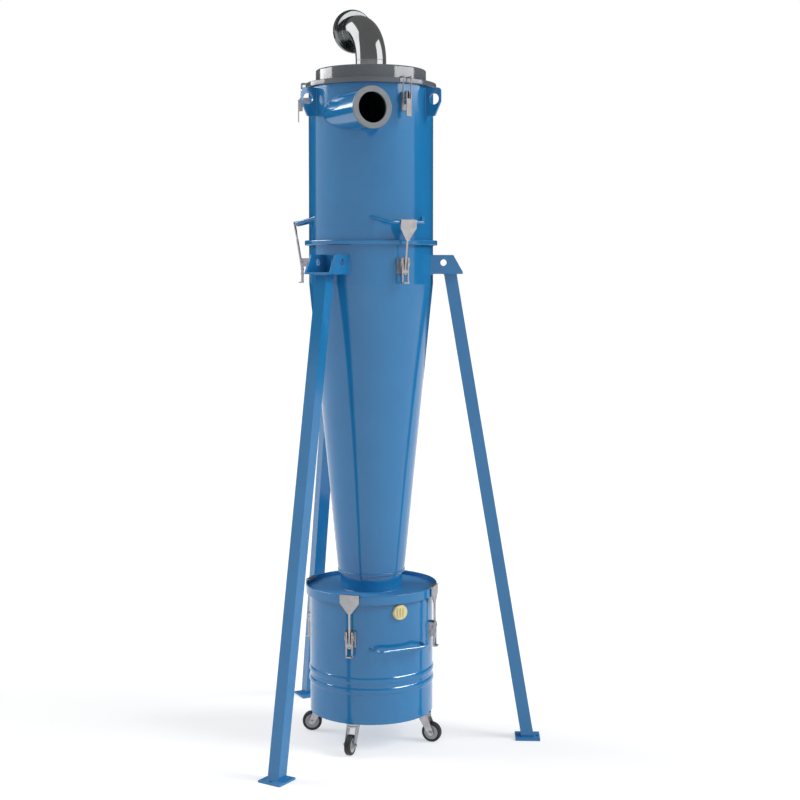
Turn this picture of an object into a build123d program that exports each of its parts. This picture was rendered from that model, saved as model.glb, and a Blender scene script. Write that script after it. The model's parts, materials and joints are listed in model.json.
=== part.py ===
from build123d import *
import math
import os

# Cyclone separator on splayed legs with a wheeled dust bin. All sizes in mm.
# The cyclone axis is Z, the floor is Z = 0 and the inlet mouth points to -Y.
# Stations round the axis are degrees from -Y, counter-clockwise seen from above.
# Names ending in _OUT are distances outward from a shell, and _IN inward.

# Sheet, seals and running fits
SHEET = 3.0
GASKET_T = 3.0
GASKET_IN = 8.0
RUN_GAP = 0.05

# Casters, from the floor up to the bin
CASTER_NAMES = ("right", "back", "front", "left")
CASTER_STATIONS = (45.0, 135.0, -45.0, -135.0)
CASTER_HEADINGS = (-48.0, 70.0, -137.0, 153.0)
CASTER_IN = 26.0
CASTER_TRAIL = 34.0
WHEEL_R = 40.0
WHEEL_W = 25.0
TYRE_T = 11.0
TYRE_ROUND = 6.0
HUB_W = 20.0
HUB_DISH = 4.0
BOSS_R = 10.0
AXLE_R = 4.0
AXLE_HEAD_R = 7.5
AXLE_HEAD_T = 4.0
SIDE_GAP = 5.0
TOP_GAP = 21.0
FORK_T = 5.0
FORK_LEG_T = 3.0
FORK_TOE_R = 12.0
FORK_NECK_W = 40.0
KING_R = 6.0
KING_HEAD_R = 11.0
KING_HEAD_T = 4.0
RACE_R = 24.0
RACE_T = 5.0
PLATE_R = 30.0
PLATE_T = 5.0

KING_Z = 2 * WHEEL_R + TOP_GAP + KING_HEAD_T
FORK_Z = KING_Z + RUN_GAP + FORK_T
RACE_Z = FORK_Z + RUN_GAP
BIN_LOW_Z = RACE_Z + RACE_T + PLATE_T

# Dust bin
BIN_R = 250.0
BIN_H = 492.0
BIN_FLOOR_T = 4.0
ROLL_OUT = 7.0
ROLL_H = 8.0
BEAD_HEIGHTS = (131.0, 173.0)
BEAD_HALF = 13.0
BEAD_OUT = 4.0
COVER_OUT = 16.0
COVER_SKIRT = 16.0
COVER_RIM = 19.0
CAP_R = 29.5
CAP_OUT = 12.0
CAP_DROP = 48.5
CAP_EDGE = 2.5
GRIP_W = 6.0
GRIP_PITCH = 13.0
GRIP_OUT = 4.0

BIN_IN = BIN_R - SHEET
BIN_TOP_Z = BIN_LOW_Z + BIN_H
COVER_Z = BIN_TOP_Z + GASKET_T
COVER_R = BIN_R + COVER_OUT
RIM_Z = COVER_Z + COVER_RIM

# Cyclone body
SHELL_R = 250.0
FLANGE_OUT = 17.0
FLANGE_T = 9.0
SEAL_T = 2.0
COLLAR_R = 126.0
COLLAR_H = 74.0
COLLAR_RING_T = 6.0
COLLAR_RING_OUT = 1.0
CONE_END_R = 135.0
CONE_H = 1160.0
NECK_H = 163.0
UPPER_H = 627.0

SHELL_IN = SHELL_R - SHEET
FLANGE_R = SHELL_R + FLANGE_OUT
CONE_END_Z = COVER_Z + SHEET + COLLAR_H
CONE_TOP_Z = CONE_END_Z + CONE_H
JOINT_Z = CONE_TOP_Z + NECK_H
UPPER_Z = JOINT_Z + SEAL_T
UPPER_TOP_Z = UPPER_Z + UPPER_H

# Lid
LID_OUT = 12.0
LID_SKIRT = 18.0
LID_ROUND = 2.0
DRUM_IN = 29.0
DRUM_H = 54.0
DRUM_ROUND = 5.0

LID_R = SHELL_R + LID_OUT
DRUM_R = SHELL_R - DRUM_IN
LID_Z = UPPER_TOP_Z + GASKET_T + SHEET
LID_TOP_Z = LID_Z + DRUM_H

# Clean air outlet
PORT_R = 58.5
OUTLET_R = 61.5
OUTLET_RISE = 40.0
OUTLET_BEND = 141.0
OUTLET_RUN = 8.0
OUTLET_RING_OUT = 27.0
OUTLET_RING_T = 30.0
OUTLET_RING_ROUND = 10.0
FINDER_DROP = 47.0

# Dirty air inlet
INLET_R = 70.0
INLET_IN = 8.0
INLET_DROP = 132.0
INLET_OUT = 104.0
INLET_RING_OUT = 10.5
INLET_RING_T = 10.0
INLET_RING_ROUND = 2.0

INLET_X = INLET_IN + INLET_R - SHELL_R
INLET_Z = LID_Z - INLET_DROP
INLET_END = SHELL_R + INLET_OUT

# Lifting lugs
LUG_STATIONS = (34.0, 154.0, -86.0)
LUG_T = 10.0
LUG_OUT = 65.0
LUG_TOE_OUT = 39.0
LUG_H = 110.0
LUG_TOE_H = 54.0
LUG_DROP = 28.0
LUG_ROUND = 14.0
LUG_EYE_R = 21.5
LUG_EYE_OUT = 37.0
LUG_EYE_DROP = 44.0

LUG_TOP_Z = LID_Z - LUG_DROP

# Bent round bars: strike bars of the body latches and the bin handle
BAR_R = 7.0
BAR_BEND = 16.0
STRIKE_UP = 77.0
STRIKE_OUT = 48.0
STRIKE_RISE = 26.0
STRIKE_HALF = 125.0
STRIKE_RAMP = 55.0
HANDLE_UP = 301.0
HANDLE_OUT = 35.0
HANDLE_HALF = 116.0
HANDLE_RAMP = 18.0

STRIKE_R = SHELL_R + STRIKE_OUT
STRIKE_Z = JOINT_Z + STRIKE_UP

# Legs, brackets and feet
LEG_STATIONS = (60.0, -60.0, 180.0)
LEG_W = 50.0
LEG_WALL = 3.0
LEG_FOOT_R = 638.0
LEG_HEAD_OUT = 70.0
FOOT_W = 100.0
FOOT_T = 8.0
ANCHOR_R = 7.0
ANCHOR_EDGE = 12.0
BRACKET_DROP = 123.0
BRACKET_T = 8.0
BRACKET_H = 76.0
BRACKET_GAP = 115.0
BRACKET_TOP_OUT = 82.0
BRACKET_LOW_OUT = 120.0
BRACKET_EYE_R = 13.5
BRACKET_EYE_EDGE = 26.5
BRACKET_EYE_DROP = 30.5

BRACKET_Z = JOINT_Z - BRACKET_DROP
BRACKET_TOP_Z = BRACKET_Z + BRACKET_H
ANCHOR_PCR = LEG_FOOT_R + FOOT_W / 2 - ANCHOR_EDGE

# Toggle latches on body and bin
BODY_LATCH_STATIONS = (2.0, 122.0, -118.0)
BIN_LATCH_STATIONS = (45.0, 135.0, -45.0, -135.0)
BODY_LATCH_DROP = 59.5
BODY_LATCH_OUT = 28.0
BIN_LATCH_DROP = 142.5
LATCH_H = 94.0
LATCH_W = 44.0
LATCH_BASE_H = 62.0
LATCH_T = 6.0
EAR_HALF = 16.5
EAR_T = 3.0
EAR_H = 34.0
EAR_NOSE = 6.0
PIN_R = 3.0
PIN_DROP = 16.0
LEVER_W = 30.0
LEVER_BAR = 6.0
LEVER_T = 8.0
LEVER_LIP = 10.0
LEVER_LIP_T = 5.0
TRUNNION_DROP = 48.0
TRUNNION_H = 12.0
ROD_R = 4.5
ROD_LAP = 14.0
CLAW_T = 4.0
CLAW_GAP = 1.0
CLAW_HOOK = 10.0
CLAW_STEM = 5.5
CLAW_SHOULDER = 33.0
BODY_CLAW_W = 70.0
BODY_CLAW_H = 82.0
BIN_CLAW_W = 80.0
BIN_CLAW_H = 77.0

# Small toggle latches with wire bails on the lid
LID_LATCH_STATIONS = (4.0, 124.0, -116.0)
LID_LATCH_DROP = 53.0
LID_LATCH_OUT = 30.0
LID_LATCH_W = 24.0
LID_LATCH_H = 72.0
LID_EAR_HALF = 4.5
LID_LEVER_W = 22.0
LID_LEVER_H = 67.0
LID_LEVER_DROP = 14.0
LID_LEVER_T = 3.0
LID_LEVER_OUT = 42.0
CHEEK_H = 44.0
CHEEK_D = 18.0
CHEEK_LAP = 8.0
BAIL_DROP = 18.0
BAIL_OUT = 16.0
BAIL_LAP = 14.0
BAIL_HALF = 17.0
WIRE_R = 2.5
WIRE_BEND = 4.0


def turned(station):
    """Place whose X axis points outward at a station round the cyclone axis."""
    return Location((0, 0, 0), (0, 0, station - 90.0))


def spun(outline):
    """Solid of revolution round the cyclone axis from a closed (radius, height) outline."""
    with BuildPart() as made:
        with BuildSketch(Plane.XZ):
            with BuildLine():
                Polyline(*outline, close=True)
            make_face()
        revolve(axis=Axis.Z)
    return made


def ring(inner, outer, low, high):
    """Flat ring round the cyclone axis."""
    return spun([(inner, low), (outer, low), (outer, high), (inner, high)])


def rims(made, radius):
    """Circular edges of one radius."""
    circles = made.edges().filter_by(GeomType.CIRCLE)
    return circles.filter_by(lambda edge: abs(edge.radius - radius) < 0.01)


def trim_to(radius):
    """Cut what is being built to stand on a shell of the given radius."""
    Cylinder(radius, 3 * LID_TOP_Z, mode=Mode.SUBTRACT)


def around(blank, stations):
    """Copies of one solid at stations round the cyclone axis."""
    with BuildPart() as made:
        with Locations(*[turned(s) for s in stations]):
            add(blank.part)
    return made


def bent_bar(points, radius, bend):
    """Round bar bent through points."""
    start = Vector(*points[0])
    with BuildPart() as made:
        with BuildLine() as path:
            FilletPolyline(*points, radius=bend)
        with BuildSketch(Plane(origin=start, z_dir=Vector(*points[1]) - start)):
            Circle(radius)
        sweep(path=path.wire())
    return made


def wall_bar(shell, out, height, half, rise, ramp):
    """Bent bar that stands off a shell on its two slanting ends, with the middle lower by rise."""
    root = math.sqrt(shell**2 - half**2) - 2 * BAR_R
    near = [(root, half, height + rise), (shell + out, half - ramp, height)]
    far = [(x, -y, z) for x, y, z in reversed(near)]
    bar = bent_bar(near + far, BAR_R, BAR_BEND)
    with BuildPart() as made:
        add(bar.part)
        trim_to(shell)
    return made


# Cyclone body

with BuildPart() as upper_cylinder:
    with BuildSketch(Plane.XZ):
        with BuildLine():
            Polyline(
                (SHELL_IN, UPPER_Z),
                (FLANGE_R, UPPER_Z),
                (FLANGE_R, UPPER_Z + FLANGE_T),
                (SHELL_R, UPPER_Z + FLANGE_T),
                (SHELL_R, UPPER_TOP_Z - ROLL_H),
                (SHELL_R + ROLL_OUT, UPPER_TOP_Z - ROLL_H),
                (SHELL_R + ROLL_OUT, UPPER_TOP_Z),
                (SHELL_IN, UPPER_TOP_Z),
                close=True,
            )
        make_face()
    revolve(axis=Axis.Z)
    fillet(rims(upper_cylinder, FLANGE_R).sort_by(Axis.Z)[-1], FLANGE_T / 2)
    with Locations(Location((INLET_X, 0, INLET_Z), (90, 0, 0))):
        Cylinder(
            INLET_R - SHEET,
            INLET_END,
            align=(Align.CENTER, Align.CENTER, Align.MIN),
            mode=Mode.SUBTRACT,
        )

body_gasket = ring(SHELL_IN, FLANGE_R, JOINT_Z, UPPER_Z)

with BuildPart() as cone_section:
    with BuildSketch(Plane.XZ):
        with BuildLine():
            Polyline(
                (SHELL_IN, JOINT_Z),
                (FLANGE_R, JOINT_Z),
                (FLANGE_R, JOINT_Z - FLANGE_T),
                (SHELL_R, JOINT_Z - FLANGE_T),
                (SHELL_R, CONE_TOP_Z),
                (CONE_END_R, CONE_END_Z),
                (CONE_END_R - SHEET, CONE_END_Z),
                (SHELL_IN, CONE_TOP_Z),
                close=True,
            )
        make_face()
    revolve(axis=Axis.Z)
    fillet(rims(cone_section, FLANGE_R).sort_by(Axis.Z)[0], FLANGE_T / 2)

dust_collar = spun(
    [
        (COLLAR_R - SHEET, COVER_Z + SHEET),
        (COLLAR_R, COVER_Z + SHEET),
        (COLLAR_R, CONE_END_Z - COLLAR_RING_T),
        (CONE_END_R + COLLAR_RING_OUT, CONE_END_Z - COLLAR_RING_T),
        (CONE_END_R + COLLAR_RING_OUT, CONE_END_Z),
        (COLLAR_R - SHEET, CONE_END_Z),
    ]
)

# Lid and air ports

lid_gasket = ring(SHELL_IN - GASKET_IN, SHELL_R + ROLL_OUT, UPPER_TOP_Z, UPPER_TOP_Z + GASKET_T)

with BuildPart() as lid:
    with BuildSketch(Plane.XZ):
        with BuildLine():
            Polyline(
                (OUTLET_R - SHEET, LID_TOP_Z),
                (DRUM_R, LID_TOP_Z),
                (DRUM_R, LID_Z),
                (LID_R, LID_Z),
                (LID_R, LID_Z - LID_SKIRT),
                (LID_R - SHEET, LID_Z - LID_SKIRT),
                (LID_R - SHEET, LID_Z - SHEET),
                (DRUM_R - SHEET, LID_Z - SHEET),
                (DRUM_R - SHEET, LID_TOP_Z - SHEET),
                (OUTLET_R - SHEET, LID_TOP_Z - SHEET),
                close=True,
            )
        make_face()
    revolve(axis=Axis.Z)
    fillet(rims(lid, DRUM_R).sort_by(Axis.Z)[-1], DRUM_ROUND)
    fillet(rims(lid, LID_R).sort_by(Axis.Z)[-1], LID_ROUND)

finder_z = INLET_Z - INLET_R - FINDER_DROP
vortex_finder = ring(OUTLET_R - SHEET, OUTLET_R, finder_z, LID_TOP_Z - SHEET)

turn_z = LID_TOP_Z + OUTLET_RISE
outlet_z = turn_z + OUTLET_BEND
outlet_end = OUTLET_BEND + OUTLET_RUN

with BuildPart() as outlet_elbow:
    with BuildLine(Plane.YZ) as run:
        Line((0, LID_TOP_Z), (0, turn_z))
        JernArc((0, turn_z), (0, 1), OUTLET_BEND, -90)
        Line((OUTLET_BEND, outlet_z), (outlet_end, outlet_z))
    with BuildSketch(Plane.XY.offset(LID_TOP_Z)):
        Circle(OUTLET_R)
        Circle(OUTLET_R - SHEET, mode=Mode.SUBTRACT)
    sweep(path=run.wire())

with BuildPart() as outlet_ring:
    with BuildSketch(Plane(origin=(0, outlet_end, outlet_z), x_dir=(1, 0, 0), z_dir=(0, 1, 0))):
        Circle(OUTLET_R + OUTLET_RING_OUT)
        Circle(PORT_R, mode=Mode.SUBTRACT)
    extrude(amount=OUTLET_RING_T)
    fillet(rims(outlet_ring, OUTLET_R + OUTLET_RING_OUT), OUTLET_RING_ROUND)

with BuildPart() as inlet_pipe:
    with BuildSketch(Plane(origin=(INLET_X, 0, INLET_Z), x_dir=(1, 0, 0), z_dir=(0, -1, 0))):
        Circle(INLET_R)
        Circle(INLET_R - SHEET, mode=Mode.SUBTRACT)
    extrude(amount=INLET_END)
    trim_to(SHELL_R)

with BuildPart() as inlet_ring:
    with BuildSketch(Plane(origin=(INLET_X, -INLET_END, INLET_Z), x_dir=(1, 0, 0), z_dir=(0, -1, 0))):
        Circle(INLET_R + INLET_RING_OUT)
        Circle(PORT_R, mode=Mode.SUBTRACT)
    extrude(amount=INLET_RING_T)
    fillet(rims(inlet_ring, INLET_R + INLET_RING_OUT), INLET_RING_ROUND)

# Lifting lugs

with BuildPart() as lug:
    low_z = LUG_TOP_Z - LUG_H
    with BuildSketch(Plane.XZ):
        with BuildLine():
            Polyline(
                (SHELL_IN, low_z),
                (SHELL_R + LUG_TOE_OUT, low_z),
                (SHELL_R + LUG_OUT, low_z + LUG_TOE_H),
                (SHELL_R + LUG_OUT, LUG_TOP_Z),
                (SHELL_IN, LUG_TOP_Z),
                close=True,
            )
        make_face()
        fillet(vertices().group_by(Axis.X)[-1], LUG_ROUND)
        with Locations((SHELL_R + LUG_EYE_OUT, LUG_TOP_Z - LUG_EYE_DROP)):
            Circle(LUG_EYE_R, mode=Mode.SUBTRACT)
    extrude(amount=LUG_T / 2, both=True)
    trim_to(SHELL_R)

lifting_lugs = around(lug, LUG_STATIONS)

# Strike bars for the body latches

strike = wall_bar(SHELL_R, STRIKE_OUT, STRIKE_Z, STRIKE_HALF, STRIKE_RISE, STRIKE_RAMP)
strike_bars = around(strike, BODY_LATCH_STATIONS)

# Leg brackets, legs and feet

with BuildPart() as bracket:
    with BuildSketch(Plane.XY.offset(BRACKET_Z)):
        with Locations((SHELL_R + BRACKET_LOW_OUT, 0)):
            Rectangle(
                BRACKET_LOW_OUT + BRACKET_GAP / 2,
                BRACKET_GAP + BRACKET_T,
                align=(Align.MAX, Align.CENTER),
            )
    extrude(amount=BRACKET_T)
    with BuildSketch(Plane.XZ.offset(-BRACKET_GAP / 2), Plane.XZ.offset(BRACKET_GAP / 2)):
        with BuildLine():
            Polyline(
                (SHELL_R - BRACKET_GAP / 2, BRACKET_Z + BRACKET_T),
                (SHELL_R + BRACKET_LOW_OUT, BRACKET_Z + BRACKET_T),
                (SHELL_R + BRACKET_TOP_OUT, BRACKET_TOP_Z),
                (SHELL_R - BRACKET_GAP / 2, BRACKET_TOP_Z),
                close=True,
            )
        make_face()
        eye_out = BRACKET_TOP_OUT - BRACKET_EYE_R - BRACKET_EYE_EDGE
        with Locations((SHELL_R + eye_out, BRACKET_TOP_Z - BRACKET_EYE_DROP)):
            Circle(BRACKET_EYE_R, mode=Mode.SUBTRACT)
    extrude(amount=BRACKET_T / 2, both=True)
    trim_to(SHELL_R)

leg_brackets = around(bracket, LEG_STATIONS)

with BuildPart() as leg:
    step_in = LEG_FOOT_R - SHELL_R - LEG_HEAD_OUT
    length = math.hypot(step_in, BRACKET_Z - FOOT_T)
    slant = (BRACKET_Z - FOOT_T) / length
    bore_w = LEG_W - 2 * LEG_WALL
    with BuildSketch(Plane.XY.offset(FOOT_T)):
        with Locations((LEG_FOOT_R, 0)):
            Rectangle(LEG_W / slant, LEG_W)
            Rectangle(bore_w / slant, bore_w, mode=Mode.SUBTRACT)
    extrude(amount=length, dir=(-step_in, 0, BRACKET_Z - FOOT_T))

legs = around(leg, LEG_STATIONS)

with BuildPart() as foot:
    with BuildSketch(Plane.XY):
        with Locations((LEG_FOOT_R, 0)):
            Rectangle(FOOT_W, FOOT_W)
        with Locations((ANCHOR_PCR, 0)):
            Circle(ANCHOR_R, mode=Mode.SUBTRACT)
    extrude(amount=FOOT_T)

foot_plates = around(foot, LEG_STATIONS)

# Dust bin

bin_cover = spun(
    [
        (COLLAR_R - SHEET, COVER_Z),
        (COVER_R - SHEET, COVER_Z),
        (COVER_R - SHEET, COVER_Z - COVER_SKIRT),
        (COVER_R, COVER_Z - COVER_SKIRT),
        (COVER_R, RIM_Z),
        (COVER_R - SHEET, RIM_Z),
        (COVER_R - SHEET, COVER_Z + SHEET),
        (COLLAR_R - SHEET, COVER_Z + SHEET),
    ]
)

bin_gasket = ring(BIN_IN - GASKET_IN, BIN_R + ROLL_OUT, BIN_TOP_Z, COVER_Z)

with BuildPart() as bin_wall:
    with BuildSketch(Plane.XZ):
        with BuildLine():
            outside = (BIN_R, BIN_LOW_Z + BIN_FLOOR_T)
            inside = (BIN_IN, BIN_LOW_Z + BIN_FLOOR_T)
            Line(inside, outside)
            for height in BEAD_HEIGHTS:
                z = BIN_LOW_Z + height
                Line(outside, (BIN_R, z - BEAD_HALF))
                Line(inside, (BIN_IN, z - BEAD_HALF))
                outside = (BIN_R, z + BEAD_HALF)
                inside = (BIN_IN, z + BEAD_HALF)
                ThreePointArc((BIN_R, z - BEAD_HALF), (BIN_R + BEAD_OUT, z), outside)
                ThreePointArc((BIN_IN, z - BEAD_HALF), (BIN_IN + BEAD_OUT, z), inside)
            Polyline(
                outside,
                (BIN_R, BIN_TOP_Z - ROLL_H),
                (BIN_R + ROLL_OUT, BIN_TOP_Z - ROLL_H),
                (BIN_R + ROLL_OUT, BIN_TOP_Z),
                (BIN_IN, BIN_TOP_Z),
                inside,
            )
        make_face()
    revolve(axis=Axis.Z)

with BuildPart() as bin_bottom:
    with BuildSketch(Plane.XY.offset(BIN_LOW_Z)):
        Circle(BIN_R)
    extrude(amount=BIN_FLOOR_T)

handle = wall_bar(BIN_R, HANDLE_OUT, BIN_LOW_Z + HANDLE_UP, HANDLE_HALF, 0, HANDLE_RAMP)
bin_handle = around(handle, (0.0,))

with BuildPart() as cap:
    cap_z = BIN_TOP_Z - CAP_DROP
    with BuildSketch(Plane(origin=(BIN_IN, 0, cap_z), x_dir=(0, 1, 0), z_dir=(1, 0, 0))):
        Circle(CAP_R)
    extrude(amount=SHEET + CAP_OUT)
    chamfer(cap.faces().sort_by(Axis.X)[-1].edges(), CAP_EDGE)
    with Locations((BIN_R + CAP_OUT, 0, cap_z)):
        with GridLocations(1, GRIP_PITCH, 1, 3):
            Box(
                2 * GRIP_OUT,
                GRIP_W,
                2 * (CAP_R - GRIP_PITCH),
            )
    trim_to(BIN_R)

bin_cap = around(cap, (0.0,))

# Toggle latches on body and bin


def latch_base(shell, out, low):
    """Base plate with two ears, standing on a shell."""
    top = low + LATCH_H
    with BuildPart() as made:
        with Locations((shell + LATCH_T, 0, top)):
            Box(2 * LATCH_T, LATCH_W, LATCH_BASE_H, align=(Align.MAX, Align.CENTER, Align.MAX))
        with BuildSketch(Plane.XZ.offset(-EAR_HALF), Plane.XZ.offset(EAR_HALF + EAR_T)):
            with BuildLine():
                Polyline(
                    (shell, top - EAR_H),
                    (shell + out, top - EAR_H),
                    (shell + out + EAR_NOSE, top - PIN_DROP),
                    (shell + out, top),
                    (shell, top),
                    close=True,
                )
            make_face()
            with Locations((shell + out, top - PIN_DROP)):
                Circle(PIN_R, mode=Mode.SUBTRACT)
        extrude(amount=-EAR_T)
        trim_to(shell)
    return made


def latch_lever(pivot_r, low):
    """Open loop lever with a trunnion bar and two pivot stubs."""
    top = low + LATCH_H
    inner_w = LEVER_W - 2 * LEVER_BAR
    with BuildPart() as made:
        with BuildSketch(Plane(origin=(pivot_r - LEVER_T / 2, 0, 0), x_dir=(0, 1, 0), z_dir=(1, 0, 0))):
            with Locations((0, low - LEVER_BAR)):
                Rectangle(LEVER_W, LATCH_H + LEVER_BAR, align=(Align.CENTER, Align.MIN))
                fillet(vertices(), LEVER_BAR / 2)
            with Locations((0, low)):
                Rectangle(inner_w, LATCH_H, align=(Align.CENTER, Align.MIN), mode=Mode.SUBTRACT)
            with Locations((0, top - TRUNNION_DROP)):
                Rectangle(LEVER_W, TRUNNION_H, align=(Align.CENTER, Align.MAX))
        extrude(amount=LEVER_T)
        with Locations((pivot_r, 0, low - LEVER_BAR)):
            Box(
                LEVER_T / 2 + LEVER_LIP,
                LEVER_W - LEVER_BAR,
                LEVER_LIP_T,
                align=(Align.MIN, Align.CENTER, Align.MIN),
            )
        ear_out = EAR_HALF + EAR_T
        for side in (-1, 1):
            middle = side * (ear_out + LEVER_W / 2) / 2
            with Locations(Location((pivot_r, middle, top - PIN_DROP), (90, 0, 0))):
                Cylinder(PIN_R, ear_out - LEVER_W / 2)
    return made


def latch_claw(seat_r, seat_z, inside, outside, rise, width, height, foot_r, foot_z):
    """Hooked claw plate in line with its pull rod, swung on its seat until the rod meets the trunnion."""
    rod_x = outside + CLAW_T / 2
    span = math.hypot(seat_r - foot_r, seat_z - foot_z)
    swing = math.atan2(seat_r - foot_r, seat_z - foot_z) + math.asin(rod_x / span)
    top = rise + CLAW_T
    shoulder = top - CLAW_SHOULDER
    stem = top - height
    with BuildPart() as upright:
        with BuildSketch(Plane(origin=(outside, 0, 0), x_dir=(0, 1, 0), z_dir=(1, 0, 0))):
            with BuildLine():
                Polyline(
                    (-width / 2, shoulder),
                    (-width / 2, top),
                    (width / 2, top),
                    (width / 2, shoulder),
                    (CLAW_STEM, stem),
                    (-CLAW_STEM, stem),
                    close=True,
                )
            make_face()
        extrude(amount=CLAW_T)
        with BuildSketch(Plane.XZ):
            with BuildLine():
                Polyline(
                    (outside + CLAW_T, top),
                    (outside + CLAW_T, rise),
                    (-inside, rise),
                    (-inside, top - CLAW_HOOK),
                    (-inside - CLAW_T, top - CLAW_HOOK),
                    (-inside - CLAW_T, top),
                    close=True,
                )
            make_face()
        extrude(amount=width / 2, both=True)
        with BuildSketch(Plane.XY.offset(stem + ROD_LAP)):
            with Locations((rod_x, 0)):
                Circle(ROD_R)
        extrude(amount=-(span + stem + ROD_LAP + ROD_R))
    with BuildPart() as made:
        with Locations(Location((seat_r, 0, seat_z), (0, math.degrees(swing), 0))):
            add(upright.part)
        with Locations((foot_r, 0, foot_z)):
            Box(span, LEVER_W, span, align=(Align.CENTER, Align.CENTER, Align.MAX), mode=Mode.SUBTRACT)
    return made


body_latch_z = JOINT_Z - BODY_LATCH_DROP - LATCH_H
body_pivot_r = SHELL_R + BODY_LATCH_OUT
body_base = latch_base(SHELL_R, BODY_LATCH_OUT, body_latch_z)
body_lever = latch_lever(body_pivot_r, body_latch_z)
body_claw = latch_claw(
    STRIKE_R,
    STRIKE_Z,
    BAR_R + CLAW_GAP,
    BAR_R + CLAW_GAP,
    BAR_R,
    BODY_CLAW_W,
    BODY_CLAW_H,
    body_pivot_r,
    body_latch_z + LATCH_H - TRUNNION_DROP,
)
body_latch_bases = around(body_base, BODY_LATCH_STATIONS)
body_latch_levers = around(body_lever, BODY_LATCH_STATIONS)
body_latch_claws = around(body_claw, BODY_LATCH_STATIONS)

bin_latch_z = RIM_Z - BIN_LATCH_DROP - LATCH_H
bin_pivot_r = COVER_R + CLAW_GAP + CLAW_T / 2
rim_sag = COVER_R - SHEET - math.sqrt((COVER_R - SHEET) ** 2 - (BIN_CLAW_W / 2) ** 2)
bin_base = latch_base(BIN_R, bin_pivot_r - BIN_R, bin_latch_z)
bin_lever = latch_lever(bin_pivot_r, bin_latch_z)
bin_claw = latch_claw(
    COVER_R,
    RIM_Z,
    SHEET + rim_sag + CLAW_GAP,
    CLAW_GAP,
    0,
    BIN_CLAW_W,
    BIN_CLAW_H,
    bin_pivot_r,
    bin_latch_z + LATCH_H - TRUNNION_DROP,
)
bin_latch_bases = around(bin_base, BIN_LATCH_STATIONS)
bin_latch_levers = around(bin_lever, BIN_LATCH_STATIONS)
bin_latch_claws = around(bin_claw, BIN_LATCH_STATIONS)

# Lid latches

lid_latch_z = LID_Z - LID_LATCH_DROP - LID_LATCH_H
lid_pin_z = lid_latch_z + LID_LATCH_H - PIN_DROP
lid_pin_r = SHELL_R + LID_LATCH_OUT

with BuildPart() as lid_base:
    with Locations((SHELL_R + LATCH_T, 0, lid_latch_z)):
        Box(2 * LATCH_T, LID_LATCH_W, LID_LATCH_H, align=(Align.MAX, Align.CENTER, Align.MIN))
    with BuildSketch(Plane.XZ.offset(-LID_EAR_HALF), Plane.XZ.offset(LID_EAR_HALF + EAR_T)):
        with Locations((SHELL_R, lid_latch_z + LID_LATCH_H)):
            Rectangle(LID_LATCH_OUT + EAR_NOSE, EAR_H, align=(Align.MIN, Align.MAX))
        with Locations((lid_pin_r, lid_pin_z)):
            Circle(PIN_R, mode=Mode.SUBTRACT)
    extrude(amount=-EAR_T)
    trim_to(SHELL_R)

lid_latch_bases = around(lid_base, LID_LATCH_STATIONS)

with BuildPart() as lid_lever:
    lever_top = lid_pin_z - LID_LEVER_DROP
    with Locations((SHELL_R + LID_LEVER_OUT, 0, lever_top)):
        Box(LID_LEVER_T, LID_LEVER_W, LID_LEVER_H, align=(Align.MAX, Align.CENTER, Align.MAX))
    for side in (-1, 1):
        cheek_y = side * (LID_LEVER_W - EAR_T) / 2
        with Locations((SHELL_R + LID_LEVER_OUT, cheek_y, lid_pin_z + CHEEK_LAP)):
            Box(CHEEK_D, EAR_T, CHEEK_H, align=(Align.MAX, Align.CENTER, Align.MAX))
        stub_y = side * (LID_EAR_HALF + LID_LEVER_W / 2) / 2
        with Locations(Location((lid_pin_r, stub_y, lid_pin_z), (90, 0, 0))):
            Cylinder(PIN_R, LID_LEVER_W / 2 - LID_EAR_HALF)

lid_latch_levers = around(lid_lever, LID_LATCH_STATIONS)

half_bail = [
    (lid_pin_r, LID_LEVER_W / 2, lid_pin_z - BAIL_DROP),
    (lid_pin_r, BAIL_HALF, lid_pin_z - BAIL_DROP),
    (LID_R + BAIL_OUT, BAIL_HALF, LID_Z + WIRE_R),
    (LID_R - BAIL_LAP, BAIL_HALF, LID_Z + WIRE_R),
]
other_half = [(x, -y, z) for x, y, z in reversed(half_bail)]
bail = bent_bar(half_bail + other_half, WIRE_R, WIRE_BEND)
lid_latch_bails = around(bail, LID_LATCH_STATIONS)

# Casters


def caster_place(index):
    """Place of one caster: origin under its swivel axis, X along its trail."""
    spot = turned(CASTER_STATIONS[index]) * Location((BIN_R - CASTER_IN, 0, 0))
    return Location(spot.position, (0, 0, CASTER_HEADINGS[index]))


with BuildPart() as plate:
    for top, radius, depth in (
        (BIN_LOW_Z, PLATE_R, PLATE_T),
        (BIN_LOW_Z - PLATE_T, RACE_R, RACE_T),
        (RACE_Z, KING_R, RACE_Z - KING_Z),
        (KING_Z, KING_HEAD_R, KING_HEAD_T),
    ):
        with BuildSketch(Plane.XY.offset(top)):
            Circle(radius)
        extrude(amount=-depth)

with BuildPart() as caster_plates:
    with Locations(*[caster_place(i) for i in range(len(CASTER_NAMES))]):
        add(plate.part)

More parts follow.
